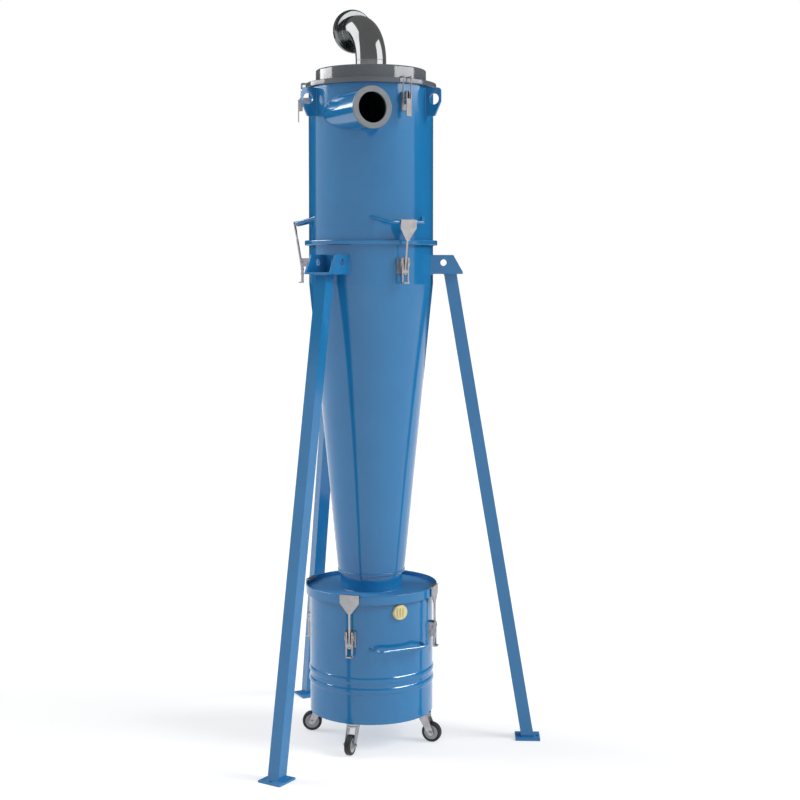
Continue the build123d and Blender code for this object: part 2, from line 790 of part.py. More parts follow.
with BuildPart() as fork:
    leg_y = WHEEL_W / 2 + SIDE_GAP
    fork_y = leg_y + FORK_LEG_T
    with BuildSketch(Plane.XY.offset(FORK_Z)):
        Circle(math.hypot(fork_y, FORK_NECK_W / 2))
        Rectangle(3 * FORK_NECK_W, 2 * fork_y, mode=Mode.INTERSECT)
    extrude(amount=-FORK_T)
    with BuildSketch(Plane.XZ.offset(-leg_y), Plane.XZ.offset(fork_y)):
        with Locations((CASTER_TRAIL, WHEEL_R)):
            Circle(FORK_TOE_R)
        with Locations((0, FORK_Z)):
            Rectangle(FORK_NECK_W, FORK_T, align=(Align.CENTER, Align.MAX))
        make_hull()
    extrude(amount=-FORK_LEG_T)
    with Locations(Location((CASTER_TRAIL, 0, WHEEL_R), (90, 0, 0))):
        Cylinder(AXLE_R, 2 * fork_y)
    for side in (-1, 1):
        head_y = side * (fork_y + AXLE_HEAD_T / 2)
        with Locations(Location((CASTER_TRAIL, head_y, WHEEL_R), (90, 0, 0))):
            Cylinder(AXLE_HEAD_R, AXLE_HEAD_T)
    with Locations((0, 0, FORK_Z)):
        Cylinder(KING_R + RUN_GAP, 4 * FORK_T, mode=Mode.SUBTRACT)

with BuildPart() as tyre:
    with BuildSketch(Plane.XZ.offset(-WHEEL_W / 2)):
        with Locations((CASTER_TRAIL, WHEEL_R)):
            Circle(WHEEL_R)
            Circle(WHEEL_R - TYRE_T, mode=Mode.SUBTRACT)
    extrude(amount=WHEEL_W)
    fillet(rims(tyre, WHEEL_R), TYRE_ROUND)

with BuildPart() as hub:
    boss_half = WHEEL_W / 2 + SIDE_GAP - RUN_GAP
    with BuildSketch(Plane.XY.offset(WHEEL_R)):
        with BuildLine():
            Polyline(
                (CASTER_TRAIL + AXLE_R + RUN_GAP, -boss_half),
                (CASTER_TRAIL + BOSS_R, -boss_half),
                (CASTER_TRAIL + BOSS_R, HUB_DISH - HUB_W / 2),
                (CASTER_TRAIL + WHEEL_R - TYRE_T, -HUB_W / 2),
                (CASTER_TRAIL + WHEEL_R - TYRE_T, HUB_W / 2),
                (CASTER_TRAIL + BOSS_R, HUB_W / 2 - HUB_DISH),
                (CASTER_TRAIL + BOSS_R, boss_half),
                (CASTER_TRAIL + AXLE_R + RUN_GAP, boss_half),
                close=True,
            )
        make_face()
    revolve(axis=Axis((CASTER_TRAIL, 0, WHEEL_R), (0, 1, 0)))

NODES = {
    "upper_cylinder": upper_cylinder,
    "body_gasket": body_gasket,
    "cone_section": cone_section,
    "dust_collar": dust_collar,
    "lid_gasket": lid_gasket,
    "lid": lid,
    "vortex_finder": vortex_finder,
    "outlet_elbow": outlet_elbow,
    "outlet_ring": outlet_ring,
    "inlet_pipe": inlet_pipe,
    "inlet_ring": inlet_ring,
    "lifting_lugs": lifting_lugs,
    "strike_bars": strike_bars,
    "leg_brackets": leg_brackets,
    "legs": legs,
    "foot_plates": foot_plates,
    "bin_cover": bin_cover,
    "bin_gasket": bin_gasket,
    "bin_wall": bin_wall,
    "bin_bottom": bin_bottom,
    "bin_handle": bin_handle,
    "bin_cap": bin_cap,
    "body_latch_bases": body_latch_bases,
    "body_latch_levers": body_latch_levers,
    "body_latch_claws": body_latch_claws,
    "bin_latch_bases": bin_latch_bases,
    "bin_latch_levers": bin_latch_levers,
    "bin_latch_claws": bin_latch_claws,
    "lid_latch_bases": lid_latch_bases,
    "lid_latch_levers": lid_latch_levers,
    "lid_latch_bails": lid_latch_bails,
    "caster_plates": caster_plates,
}

for index, side in enumerate(CASTER_NAMES):
    for kind, blank in (("fork", fork), ("tyre", tyre), ("hub", hub)):
        with BuildPart() as placed:
            with Locations(caster_place(index)):
                add(blank.part)
        NODES[f"caster_{kind}_{side}"] = placed

os.makedirs("parts", exist_ok=True)
for name, made in NODES.items():
    made.part.label = name
    export_step(made.part, f"parts/{name}.step")
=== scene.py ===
"""Looks of a cyclone separator with a wheeled dust bin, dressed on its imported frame."""
import json
import logging
import math
from dataclasses import dataclass, field, replace
from enum import Enum
from typing import Any, Iterable, Sequence

import bmesh
import bpy
from mathutils import Matrix, Vector

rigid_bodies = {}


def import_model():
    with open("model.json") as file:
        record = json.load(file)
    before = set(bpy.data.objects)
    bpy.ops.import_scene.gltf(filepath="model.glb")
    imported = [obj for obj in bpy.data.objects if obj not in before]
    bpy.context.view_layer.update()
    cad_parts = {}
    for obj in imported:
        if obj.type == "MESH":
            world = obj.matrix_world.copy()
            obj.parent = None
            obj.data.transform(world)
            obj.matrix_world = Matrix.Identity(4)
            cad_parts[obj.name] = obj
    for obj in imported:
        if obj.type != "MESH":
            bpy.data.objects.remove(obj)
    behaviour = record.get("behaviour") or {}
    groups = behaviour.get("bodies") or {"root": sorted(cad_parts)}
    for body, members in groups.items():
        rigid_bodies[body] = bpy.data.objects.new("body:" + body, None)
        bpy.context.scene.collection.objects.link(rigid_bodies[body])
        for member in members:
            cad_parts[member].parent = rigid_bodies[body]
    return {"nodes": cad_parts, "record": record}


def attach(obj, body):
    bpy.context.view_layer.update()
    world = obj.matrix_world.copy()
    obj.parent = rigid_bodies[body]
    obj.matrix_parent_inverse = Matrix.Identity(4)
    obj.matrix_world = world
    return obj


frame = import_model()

LOG = logging.getLogger("cyclone")
MM = 0.001
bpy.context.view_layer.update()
UPRIGHT = Matrix.Identity(4)
ON_AXIS = 1e-9  # mm from the axis, under which a turned point lies on it
MERGE_M = 1e-6  # metres within which doubles merge
MIX_A, MIX_B, MIX_OUT = 6, 7, 2  # colour sockets of the Mix node
MOTTLE_LOW, MOTTLE_HIGH = 0.3, 0.7  # the part of the noise that the tones spread over
BODY_R = 250.0  # mm, outside of cylinder and bin
CORNERS = (45.0, 135.0, -45.0, -135.0)  # stations of casters and bin latches
BODY_LATCHES = (2.0, 122.0, -118.0)  # stations of strike bars and body latches


def linear(code: str) -> tuple[float, float, float, float]:
    """Turns an sRGB hex colour to linear light.

    Args:
        code: colour as #rrggbb.

    Returns:
        Linear red, green and blue, with full alpha.
    """
    parts = [int(code[i : i + 2], 16) / 255 for i in (1, 3, 5)]
    light = [c / 12.92 if c <= 0.04045 else ((c + 0.055) / 1.055) ** 2.4 for c in parts]
    return (light[0], light[1], light[2], 1.0)


def turns(steps: int) -> list[float]:
    """Returns the angles of one whole turn in equal steps, in radians."""
    return [2 * math.pi * i / steps for i in range(steps)]


def add_node(
    tree: bpy.types.NodeTree,
    kind: str,
    settings: dict[str, Any] | None = None,
    feeds: dict[Any, Any] | None = None,
) -> bpy.types.Node:
    """Adds one node with its settings and what feeds its inputs.

    Args:
        tree: node tree that gets the node.
        kind: the node's type name.
        settings: attributes to set on the node.
        feeds: for each input, by name or number, a socket to link or a value to set.

    Returns:
        The new node.
    """
    made = tree.nodes.new(kind)
    for name, value in (settings or {}).items():
        setattr(made, name, value)
    for key, source in (feeds or {}).items():
        if isinstance(source, bpy.types.NodeSocket):
            tree.links.new(source, made.inputs[key])
        else:
            made.inputs[key].default_value = source
    return made


class Grain(Enum):
    """Surface grain, as a texture and how it is stretched along X, Y and Z."""

    PEEL = ("ShaderNodeTexNoise", (1.0, 1.0, 1.0))
    DRAWN = ("ShaderNodeTexNoise", (1.0, 1.0, 0.08))
    SPANGLE = ("ShaderNodeTexVoronoi", (1.0, 1.0, 1.0))
    MOULDED = ("ShaderNodeTexNoise", (1.0, 1.0, 1.0))


class Glint(Enum):
    """Soft boxes that a finish reflects: their top in metres, and the right and the left one's brightness."""

    PAINT = (7.5, 8.0, 8.0)
    BEND = (7.5, 24.0, 30.0)
    METAL = (7.5, 1.3, 1.3)
    RING = (7.5, 3.6, 0.4)
    ENAMEL = (3.8, 8.0, 8.0)


@dataclass(frozen=True)
class PaintedInsideShade:
    """Painted shade inside a painted tube, a near-black colour within its radius where the inside lies in shade: a
    line along its axis, its mask across and its radius.
    """

    origin_mm: tuple[float, float, float]
    across: tuple[float, float, float]
    radius_mm: float
    # near-black painted shade of the tube's inside
    colour: str = "#17191d"


@dataclass(frozen=True)
class Finish:
    """One real finish: two close tones, a mottle, a gloss that varies and a grain, with painted shade inside some
    tubes.
    """

    title: str
    colour: str
    shade: str
    roughness: float
    spread: float
    mottle_mm: float
    grain: Grain
    grain_mm: float
    relief_mm: float
    metallic: float = 0.0
    ior: float = 1.5
    # painted shade inside a tube's bore, if any
    inside_shade: PaintedInsideShade | None = None
    glint: Glint = Glint.PAINT
    dust: float = 0.0

    def dusted(self, tree: bpy.types.NodeTree, rough: bpy.types.NodeSocket) -> bpy.types.NodeSocket:
        """Returns the roughness with settled dust on the faces that point up.

        Args:
            tree: the material's tree.
            rough: roughness of the clean finish.

        Returns:
            The larger of the two.
        """
        facing = add_node(tree, "ShaderNodeNewGeometry").outputs["Normal"]
        upward = add_node(tree, "ShaderNodeSeparateXYZ", feeds={"Vector": facing}).outputs["Z"]
        settled = add_node(
            tree,
            "ShaderNodeMapRange",
            feeds={"Value": upward, "From Min": 0.7, "From Max": 0.95, "To Min": 0.0, "To Max": self.dust},
        )
        larger = add_node(tree, "ShaderNodeMath", {"operation": "MAXIMUM"}, {0: rough, 1: settled.outputs["Result"]})
        return larger.outputs[0]

    def paint_shade_inside(
        self, tree: bpy.types.NodeTree, where: bpy.types.NodeSocket, paint: bpy.types.NodeSocket
    ) -> bpy.types.NodeSocket:
        """Returns the paint with the painted shade's near-black colour inside its radius.

        Args:
            tree: the material's tree.
            where: Object coordinates.
            paint: colour of the outside.

        Returns:
            The mixed colour.
        """
        origin = Vector(self.inside_shade.origin_mm) * MM
        offset = add_node(tree, "ShaderNodeVectorMath", {"operation": "SUBTRACT"}, {0: where, 1: origin})
        flat = add_node(
            tree, "ShaderNodeVectorMath", {"operation": "MULTIPLY"}, {0: offset.outputs[0], 1: self.inside_shade.across}
        )
        reach = add_node(tree, "ShaderNodeVectorMath", {"operation": "LENGTH"}, {0: flat.outputs[0]})
        inside = add_node(
            tree,
            "ShaderNodeMath",
            {"operation": "LESS_THAN"},
            {0: reach.outputs["Value"], 1: self.inside_shade.radius_mm * MM},
        )
        # painted shade: the near-black colour within the tube's radius
        mixed = add_node(tree, "ShaderNodeMix", {"data_type": "RGBA"}, {"Factor": inside.outputs[0]})
        tree.links.new(paint, mixed.inputs[MIX_A])
        mixed.inputs[MIX_B].default_value = linear(self.inside_shade.colour)
        return mixed.outputs[MIX_OUT]

    def build(self) -> bpy.types.Material:
        """Builds the material on Object coordinates, which are metres of the shared frame."""
        made = bpy.data.materials.new(self.title)
        made.use_nodes = True
        tree = made.node_tree
        tree.nodes.clear()
        where = add_node(tree, "ShaderNodeTexCoord").outputs["Object"]
        texture, stretch = self.grain.value
        mottle = add_node(
            tree,
            "ShaderNodeTexNoise",
            feeds={"Vector": where, "Scale": 1000 / self.mottle_mm, "Detail": 4.0, "Roughness": 0.55},
        )
        tones = add_node(tree, "ShaderNodeValToRGB", feeds={"Fac": mottle.outputs["Fac"]})
        stops = ((MOTTLE_LOW, self.shade), (MOTTLE_HIGH, self.colour))
        for stop, (position, tone) in zip(tones.color_ramp.elements, stops):
            stop.position = position
            stop.color = linear(tone)
        paint = tones.outputs["Color"]
        # painted shade on the inside of the tube
        if self.inside_shade:
            paint = self.paint_shade_inside(tree, where, paint)
        gloss = add_node(
            tree,
            "ShaderNodeMapRange",
            feeds={
                "Value": mottle.outputs["Fac"],
                "From Min": MOTTLE_LOW,
                "From Max": MOTTLE_HIGH,
                "To Min": self.roughness + self.spread,
                "To Max": self.roughness - self.spread,
            },
        )
        rough = gloss.outputs["Result"]
        if self.dust:
            rough = self.dusted(tree, rough)
        turned = add_node(tree, "ShaderNodeMapping", feeds={"Vector": where, "Scale": stretch})
        grain = add_node(tree, texture, feeds={"Vector": turned.outputs["Vector"], "Scale": 1000 / self.grain_mm})
        relief = add_node(
            tree,
            "ShaderNodeBump",
            feeds={"Height": grain.outputs[0], "Distance": self.relief_mm * MM, "Strength": 1.0},
        )
        surface = add_node(
            tree,
            "ShaderNodeBsdfPrincipled",
            feeds={
                "Base Color": paint,
                "Roughness": rough,
                "Normal": relief.outputs["Normal"],
                "Metallic": self.metallic,
                "IOR": self.ior,
            },
        )
        add_node(tree, "ShaderNodeOutputMaterial", feeds={"Surface": surface.outputs["BSDF"]})
        return made


# Gloss polyester powder coat on steel: clean reflections that waver a little. The real peel is
# about 4 mm across, under one pixel, so it is drawn ten times coarser. Dust dulls what faces up.
BLUE_COAT = Finish(
    "gloss_blue_powder_coat",
    colour="#1f7ab4",
    shade="#1c74ad",
    roughness=0.13,
    spread=0.03,
    mottle_mm=190.0,
    grain=Grain.PEEL,
    grain_mm=40.0,
    relief_mm=0.012,
    ior=1.6,
    dust=0.7,
)
# Gloss enamel on the pressed lid, dulled by dust where it faces up.
GREY_ENAMEL = Finish(
    "gloss_grey_enamel",
    colour="#646a70",
    shade="#5e646a",
    roughness=0.12,
    spread=0.03,
    mottle_mm=150.0,
    grain=Grain.PEEL,
    grain_mm=40.0,
    relief_mm=0.012,
    ior=1.6,
    glint=Glint.ENAMEL,
    dust=0.8,
)
# Polished stainless tube: a mirror with faint drawing lines along the tube.
POLISHED_TUBE = Finish(
    "polished_stainless_tube",
    colour="#c6c7c8",
    shade="#bcbdbf",
    roughness=0.09,
    spread=0.03,
    mottle_mm=60.0,
    grain=Grain.DRAWN,
    grain_mm=9.0,
    relief_mm=0.0015,
    metallic=1.0,
    glint=Glint.METAL,
)
# Bright zinc plate on pressed steel: satin, with faint spangle.
ZINC_PLATE = Finish(
    "bright_zinc_plate",
    colour="#c2bfc0",
    shade="#b5b2b3",
    roughness=0.48,
    spread=0.06,
    mottle_mm=24.0,
    grain=Grain.SPANGLE,
    grain_mm=7.0,
    relief_mm=0.01,
    metallic=1.0,
    glint=Glint.METAL,
)
# Machined ring on the outlet, polished less than the tube.
TURNED_RING = replace(
    POLISHED_TUBE,
    title="turned_steel_ring",
    colour="#7d8081",
    shade="#737677",
    roughness=0.14,
    relief_mm=0.0002,
    glint=Glint.RING,
)
# Moulded rubber sleeve on the duct mouth.
SLEEVE_RUBBER = Finish(
    "moulded_grey_rubber",
    colour="#70767b",
    shade="#676d72",
    roughness=0.42,
    spread=0.06,
    mottle_mm=60.0,
    grain=Grain.MOULDED,
    grain_mm=6.0,
    relief_mm=0.02,
)
# Die cut sheet rubber of the seals.
SEAL_RUBBER = Finish(
    "black_sheet_rubber",
    colour="#232325",
    shade="#1a1a1c",
    roughness=0.7,
    spread=0.08,
    mottle_mm=30.0,
    grain=Grain.MOULDED,
    grain_mm=4.0,
    relief_mm=0.02,
)
# Tyre rubber, scuffed to a dull grey black.
TYRE_RUBBER = Finish(
    "black_tyre_rubber",
    colour="#262628",
    shade="#19191b",
    roughness=0.55,
    spread=0.1,
    mottle_mm=18.0,
    grain=Grain.MOULDED,
    grain_mm=3.0,
    relief_mm=0.03,
)
# Injection moulded nylon wheel centre.
GREY_NYLON = Finish(
    "moulded_grey_nylon",
    colour="#c4c5c7",
    shade="#b9babc",
    roughness=0.38,
    spread=0.06,
    mottle_mm=25.0,
    grain=Grain.MOULDED,
    grain_mm=3.0,
    relief_mm=0.015,
)
# Injection moulded yellow cap.
YELLOW_CAP = Finish(
    "moulded_yellow_plastic",
    colour="#eadfae",
    shade="#e2d196",
    roughness=0.3,
    spread=0.05,
    mottle_mm=20.0,
    grain=Grain.MOULDED,
    grain_mm=3.0,
    relief_mm=0.015,
)
# Rough steel on the vortex finder, whose near-black colour is painted shade, as the finder lies in shade inside the
# cyclone.
PAINTED_SHADE_STEEL = Finish(
    "dusty_bare_steel",
    colour="#1d1f22",
    shade="#16181b",
    roughness=0.75,
    spread=0.08,
    mottle_mm=40.0,
    grain=Grain.MOULDED,
    grain_mm=8.0,
    relief_mm=0.02,
)
# The same paint on the two tubes whose inside shows through the inlet, with painted shade: near-black within their
# bore, where the inside lies in shade.
INLET_COAT = replace(
    BLUE_COAT, title="gloss_blue_inlet", inside_shade=PaintedInsideShade((-172.0, 0.0, 2518.1), (1.0, 0.0, 1.0), 68.5)
)
CYLINDER_COAT = replace(
    BLUE_COAT, title="gloss_blue_cylinder", inside_shade=PaintedInsideShade((0.0, 0.0, 0.0), (1.0, 1.0, 0.0), 248.5)
)

# The same paint on tight bends, which show a lamp as a line thinner than a pixel, so theirs is brighter.
BEND_COAT = replace(BLUE_COAT, title="gloss_blue_bends", glint=Glint.BEND)

NODE_FINISHES: dict[str, Finish] = {
    "bin_handle": BEND_COAT,
    "inlet_pipe": INLET_COAT,
    "upper_cylinder": CYLINDER_COAT,
    # painted shade: the finder is dressed near-black
    "vortex_finder": PAINTED_SHADE_STEEL,
    "outlet_ring": TURNED_RING,
    "body_gasket": BLUE_COAT,
}

SLOT_FINISHES: dict[str, Finish] = {
    "blue_paint": BLUE_COAT,
    "grey_paint": GREY_ENAMEL,
    "polished_steel": POLISHED_TUBE,
    "zinc_plate": ZINC_PLATE,
    "grey_rubber": SLEEVE_RUBBER,
    "seal_rubber": SEAL_RUBBER,
    "tyre_rubber": TYRE_RUBBER,
    "grey_plastic": GREY_NYLON,
    "yellow_plastic": YELLOW_CAP,
}


class PaintShop:
    """Builds each finish once and hands it out by the record's slot name."""

    def __init__(self) -> None:
        """Starts with nothing mixed."""
        self._mixed: dict[str, bpy.types.Material] = {}

    def mix(self, finish: Finish) -> bpy.types.Material:
        """Returns the material of a finish, built on first use."""
        if finish.title not in self._mixed:
            self._mixed[finish.title] = finish.build()
        return self._mixed[finish.title]

    def get(self, slot: str) -> bpy.types.Material:
        """Returns the material of a slot."""
        return self.mix(SLOT_FINISHES[slot])

    def dress_nodes(self) -> None:
        """Puts the finish of its slot on every CAD node."""
        for entry in frame["record"]["subparts"]:
            piece = frame["nodes"][entry["node"]]
            coat = self.mix(NODE_FINISHES.get(entry["node"], SLOT_FINISHES[entry["material_slot"]]))
            for place in piece.material_slots:
                place.material = coat
            LOG.info("node %s in %s", entry["node"], entry["material_slot"])


SHOP = PaintShop()


def spot(station: float, out: float, up: float, side: float = 0.0) -> Vector:
    """Finds a point by its station round the cyclone axis.

    Args:
        station: degrees from -Y, counter-clockwise from above.
        out: mm from the axis along the station.
        up: mm above the floor.
        side: mm across the station, towards larger stations.

    Returns:
        The point in metres.
    """
    a = math.radians(station)
    return Vector((math.sin(a) * out + math.cos(a) * side, math.sin(a) * side - math.cos(a) * out, up)) * MM


def aim(station: float, out: float, up: float = 0.0, side: float = 0.0) -> Vector:
    """Returns a unit direction given along, across and above a station."""
    return spot(station, out, up, side).normalized()


def land(name: str, mesh: bpy.types.Mesh, slot: str, body: str) -> bpy.types.Object:
    """Makes a finished piece of a mesh and lets it ride on a body.

    Args:
        name: the piece's name.
        mesh: its mesh, in place in the shared frame.
        slot: the record's slot that it takes its finish from.
        body: the CAD body that carries it.

    Returns:
        The new object.
    """
    mesh.materials.clear()
    mesh.materials.append(SHOP.get(slot))
    made = bpy.data.objects.new(name, mesh)
    bpy.context.scene.collection.objects.link(made)
    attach(made, body)
    LOG.info("piece %s rides on %s", name, body)
    return made


def from_bmesh(name: str, shape: bmesh.types.BMesh, smooth: bool = True) -> bpy.types.Mesh:
    """Turns a bmesh to a mesh with its doubles merged and its faces outward.

    Args:
        name: the mesh's name.
        shape: the bmesh, which is freed.
        smooth: whether its faces shade smoothly.

    Returns:
        The new mesh.
    """
    bmesh.ops.remove_doubles(shape, verts=shape.verts, dist=MERGE_M)
    bmesh.ops.recalc_face_normals(shape, faces=shape.faces)
    for face in shape.faces:
        face.smooth = smooth
    mesh = bpy.data.meshes.new(name)
    shape.to_mesh(mesh)
    shape.free()
    return mesh


def lathe(shape: bmesh.types.BMesh, profile: Sequence[tuple[float, float]], steps: int, place: Matrix) -> None:
    """Adds a turned shape to a bmesh.

    Args:
        shape: the bmesh that gets it.
        profile: closed outline of (radius, height) in mm.
        steps: sides round the turn.
        place: where its axis, Z, goes.
    """
    rings = [
        [shape.verts.new(place @ (Vector((r * math.cos(a), r * math.sin(a), h)) * MM)) for r, h in profile]
        for a in turns(steps)
    ]
    count = len(profile)
    for i in range(steps):
        here, there = rings[i], rings[(i + 1) % steps]
        for j in range(count):
            k = (j + 1) % count
            if profile[j][0] < ON_AXIS and profile[k][0] < ON_AXIS:
                continue
            corners = [here[j], there[j], there[k], here[k]]
            if profile[j][0] < ON_AXIS:
                corners = [here[j], there[k], here[k]]
            elif profile[k][0] < ON_AXIS:
                corners = [here[j], there[j], here[k]]
            shape.faces.new(corners)


def along(origin: Vector, axis: Vector) -> Matrix:
    """Returns the place whose Z runs along an axis from an origin."""
    return Matrix.Translation(origin) @ axis.to_track_quat("Z", "Y").to_matrix().to_4x4()


class Growth:
    """A Geometry Nodes tree with named inputs, run on a mesh and settled to a plain mesh."""

    def __init__(self, title: str, inputs: dict[str, str]) -> None:
        """Starts a tree.

        Args:
            title: the tree's name.
            inputs: socket type of each named input besides the geometry.
        """
        self.tree = bpy.data.node_groups.new(title, "GeometryNodeTree")
        face = self.tree.interface
        face.new_socket("Geometry", in_out="INPUT", socket_type="NodeSocketGeometry")
        for name, kind in inputs.items():
            face.new_socket(name, in_out="INPUT", socket_type=kind)
        face.new_socket("Geometry", in_out="OUTPUT", socket_type="NodeSocketGeometry")
        self.start = add_node(self.tree, "NodeGroupInput")

    def close(self, grown: bpy.types.NodeSocket) -> None:
        """Ends the tree: instances made real, the material set, and out."""
        real = add_node(self.tree, "GeometryNodeRealizeInstances", feeds={"Geometry": grown})
        dressed = add_node(
            self.tree,
            "GeometryNodeSetMaterial",
            feeds={"Geometry": real.outputs[0], "Material": self.start.outputs["Material"]},
        )
        add_node(self.tree, "NodeGroupOutput", feeds={"Geometry": dressed.outputs[0]})

    def run(self, name: str, seed: bpy.types.Mesh, values: dict[str, Any]) -> bpy.types.Mesh:
        """Grows the tree on a seed mesh.

        Args:
            name: the new mesh's name.
            seed: points or lines that the tree starts from.
            values: a value for each named input.

        Returns:
            The grown mesh.
        """
        holder = bpy.data.objects.new(name + "_seed", seed)
        bpy.context.scene.collection.objects.link(holder)
        change = holder.modifiers.new("grow", "NODES")
        change.node_group = self.tree
        for item in self.tree.interface.items_tree:
            if item.item_type == "SOCKET" and item.in_out == "INPUT" and item.name in values:
                change[item.identifier] = values[item.name]
        graph = bpy.context.evaluated_depsgraph_get()
        mesh = bpy.data.meshes.new_from_object(holder.evaluated_get(graph), depsgraph=graph)
        mesh.name = name
        bpy.data.objects.remove(holder)
        bpy.data.meshes.remove(seed)
        return mesh


def weld_growth() -> Growth:
    """Builds the tree that lays a rippled weld bead along the seed's edges."""
    grow = Growth(
        "weld_bead",
        {"Pitch": "NodeSocketFloat", "Width": "NodeSocketFloat", "Material": "NodeSocketMaterial"},
    )
    tree, start = grow.tree, grow.start
    samples, ripple = 4.0, 0.16
    step = add_node(tree, "ShaderNodeMath", {"operation": "DIVIDE"}, {0: start.outputs["Pitch"], 1: samples})
    path = add_node(tree, "GeometryNodeMeshToCurve", feeds={"Mesh": start.outputs["Geometry"]})
    even = add_node(
        tree,
        "GeometryNodeResampleCurve",
        {"mode": "LENGTH"},
        {"Curve": path.outputs["Curve"], "Length": step.outputs[0]},
    )
    run = add_node(tree, "GeometryNodeSplineParameter")
    turns = add_node(
        tree, "ShaderNodeMath", {"operation": "DIVIDE"}, {0: run.outputs["Length"], 1: start.outputs["Pitch"]}
    )
    angle = add_node(tree, "ShaderNodeMath", {"operation": "MULTIPLY"}, {0: turns.outputs[0], 1: 2 * math.pi})
    wave = add_node(tree, "ShaderNodeMath", {"operation": "SINE"}, {0: angle.outputs[0]})
    swell = add_node(tree, "ShaderNodeMath", {"operation": "MULTIPLY_ADD"}, {0: wave.outputs[0], 1: ripple, 2: 1.0})
    thick = add_node(
        tree, "GeometryNodeSetCurveRadius", feeds={"Curve": even.outputs["Curve"], "Radius": swell.outputs[0]}
    )
    half = add_node(tree, "ShaderNodeMath", {"operation": "MULTIPLY"}, {0: start.outputs["Width"], 1: 0.5})
    section = add_node(
        tree, "GeometryNodeCurvePrimitiveCircle", feeds={"Resolution": 8, "Radius": half.outputs[0]}
    )
    tube = add_node(
        tree,
        "GeometryNodeCurveToMesh",
        feeds={"Curve": thick.outputs["Curve"], "Profile Curve": section.outputs["Curve"], "Fill Caps": True},
    )
    grow.close(tube.outputs["Mesh"])
    return grow


def stud_growth() -> Growth:
    """Builds the tree that sets one small part on every seed point, turned to its aim."""
    grow = Growth("set_parts", {"Part": "NodeSocketObject", "Material": "NodeSocketMaterial"})
    tree, start = grow.tree, grow.start
    part = add_node(tree, "GeometryNodeObjectInfo", feeds={"Object": start.outputs["Part"]})
    way = add_node(tree, "GeometryNodeInputNamedAttribute", {"data_type": "FLOAT_VECTOR"}, {"Name": "aim"})
    turn = add_node(
        tree, "FunctionNodeAlignRotationToVector", {"axis": "Z"}, {"Vector": way.outputs["Attribute"]}
    )
    placed = add_node(
        tree,
        "GeometryNodeInstanceOnPoints",
        feeds={
            "Points": start.outputs["Geometry"],
            "Instance": part.outputs["Geometry"],
            "Rotation": turn.outputs["Rotation"],
        },
    )
    grow.close(placed.outputs["Instances"])
    return grow


WELDS = weld_growth()
STUDS = stud_growth()


@dataclass
class Path:
    """A line that a weld follows, open or closed."""

    points: list[Vector]
    closed: bool = False


def weld(name: str, paths: Iterable[Path], width: float, slot: str = "blue_paint", pitch: float = 5.0) -> None:
    """Lays painted weld beads and lands them as one piece on the root body.

    Args:
        name: the piece's name.
        paths: the lines to follow.
        width: bead width in mm.
        slot: finish over the bead.
        pitch: mm from ripple to ripple.
    """
    points: list[Vector] = []
    edges: list[tuple[int, int]] = []
    for path in paths:
        first = len(points)
        points.extend(path.points)
        last = len(points) - 1
        edges.extend((i, i + 1) for i in range(first, last))
        if path.closed:
            edges.append((last, first))
    seed = bpy.data.meshes.new(name + "_lines")
    seed.from_pydata(points, edges, [])
    grown = WELDS.run(name, seed, {"Pitch": pitch * MM, "Width": width * MM, "Material": SHOP.get(slot)})
    for face in grown.polygons:
        face.use_smooth = True
    land(name, grown, slot, "root")


def set_parts(
    name: str, part: bpy.types.Mesh, places: Sequence[tuple[Vector, Vector]], slot: str, body: str = "root"
) -> None:
    """Sets copies of a small part on points and lands them as one piece.

    Args:
        name: the piece's name.
        part: the part's mesh, standing on the origin along Z.
        places: a point and a direction for each copy.
        slot: their finish.
        body: the body that carries them.
    """
    seed = bpy.data.meshes.new(name + "_points")
    seed.from_pydata([point for point, _ in places], [], [])
    ways = seed.attributes.new("aim", "FLOAT_VECTOR", "POINT")
    for item, (_, way) in zip(ways.data, places):
        item.vector = way
    holder = bpy.data.objects.new(name + "_part", part)
    bpy.context.scene.collection.objects.link(holder)
    grown = STUDS.run(name, seed, {"Part": holder, "Material": SHOP.get(slot)})
    bpy.data.objects.remove(holder)
    land(name, grown, slot, body)


def circle(centre: Vector, axis: Vector, radius: float, steps: int = 96) -> Path:
    """Returns a closed round path of a radius in mm round an axis."""
    place = along(centre, axis)
    return Path([place @ (Vector((math.cos(a), math.sin(a), 0)) * radius * MM) for a in turns(steps)], True)


def rolled_edge(name: str, radius: float, height: float, thick: float, slot: str) -> None:
    """Lands a round wire edge on the root body.

    Args:
        name: the piece's name.
        radius: mm from the cyclone's axis to the wire's middle.
        height: mm from the floor to the wire's middle.
        thick: the wire's radius in mm.
        slot: its finish.
    """
    shape = bmesh.new()
    profile = [(radius + thick * math.cos(a), height + thick * math.sin(a)) for a in turns(12)]
    lathe(shape, profile, 160, UPRIGHT)
    land(name, from_bmesh(name, shape), slot, "root")


def rivet_mesh(radius: float, height: float) -> bpy.types.Mesh:
    """Returns a domed rivet head of a radius and height in mm."""
    shape = bmesh.new()
    dome = [(0.45, 0.9), (0.8, 0.6), (1.0, 0.0)]
    sunk = -0.2
    profile = [(0.0, height)] + [(radius * r, height * h) for r, h in dome] + [(0.0, sunk)]
    lathe(shape, profile, 16, UPRIGHT)
    return from_bmesh("rivet", shape)


def nut_mesh(flats: float, height: float, bore: float) -> bpy.types.Mesh:
    """Returns a hexagon nut with chamfered corners, sizes in mm."""
    shape = bmesh.new()
    half, corner, bevel = flats / 2, flats / 2 / math.cos(math.pi / 6), 0.8
    profile = [(bore, 0), (half, 0), (corner, bevel), (corner, height - bevel), (half, height), (bore, height)]
    lathe(shape, profile, 6, UPRIGHT)
    return from_bmesh("nut", shape, smooth=False)


def thread_mesh(radius: float, depth: float, pitch: float) -> bpy.types.Mesh:
    """Returns one crest of a screw thread round a rod, sizes in mm."""
    shape = bmesh.new()
    profile = [(radius - depth, -pitch / 2), (radius + depth, 0), (radius - depth, pitch / 2), (radius - 2 * depth, 0)]
    lathe(shape, profile, 16, UPRIGHT)
    return from_bmesh("thread", shape)


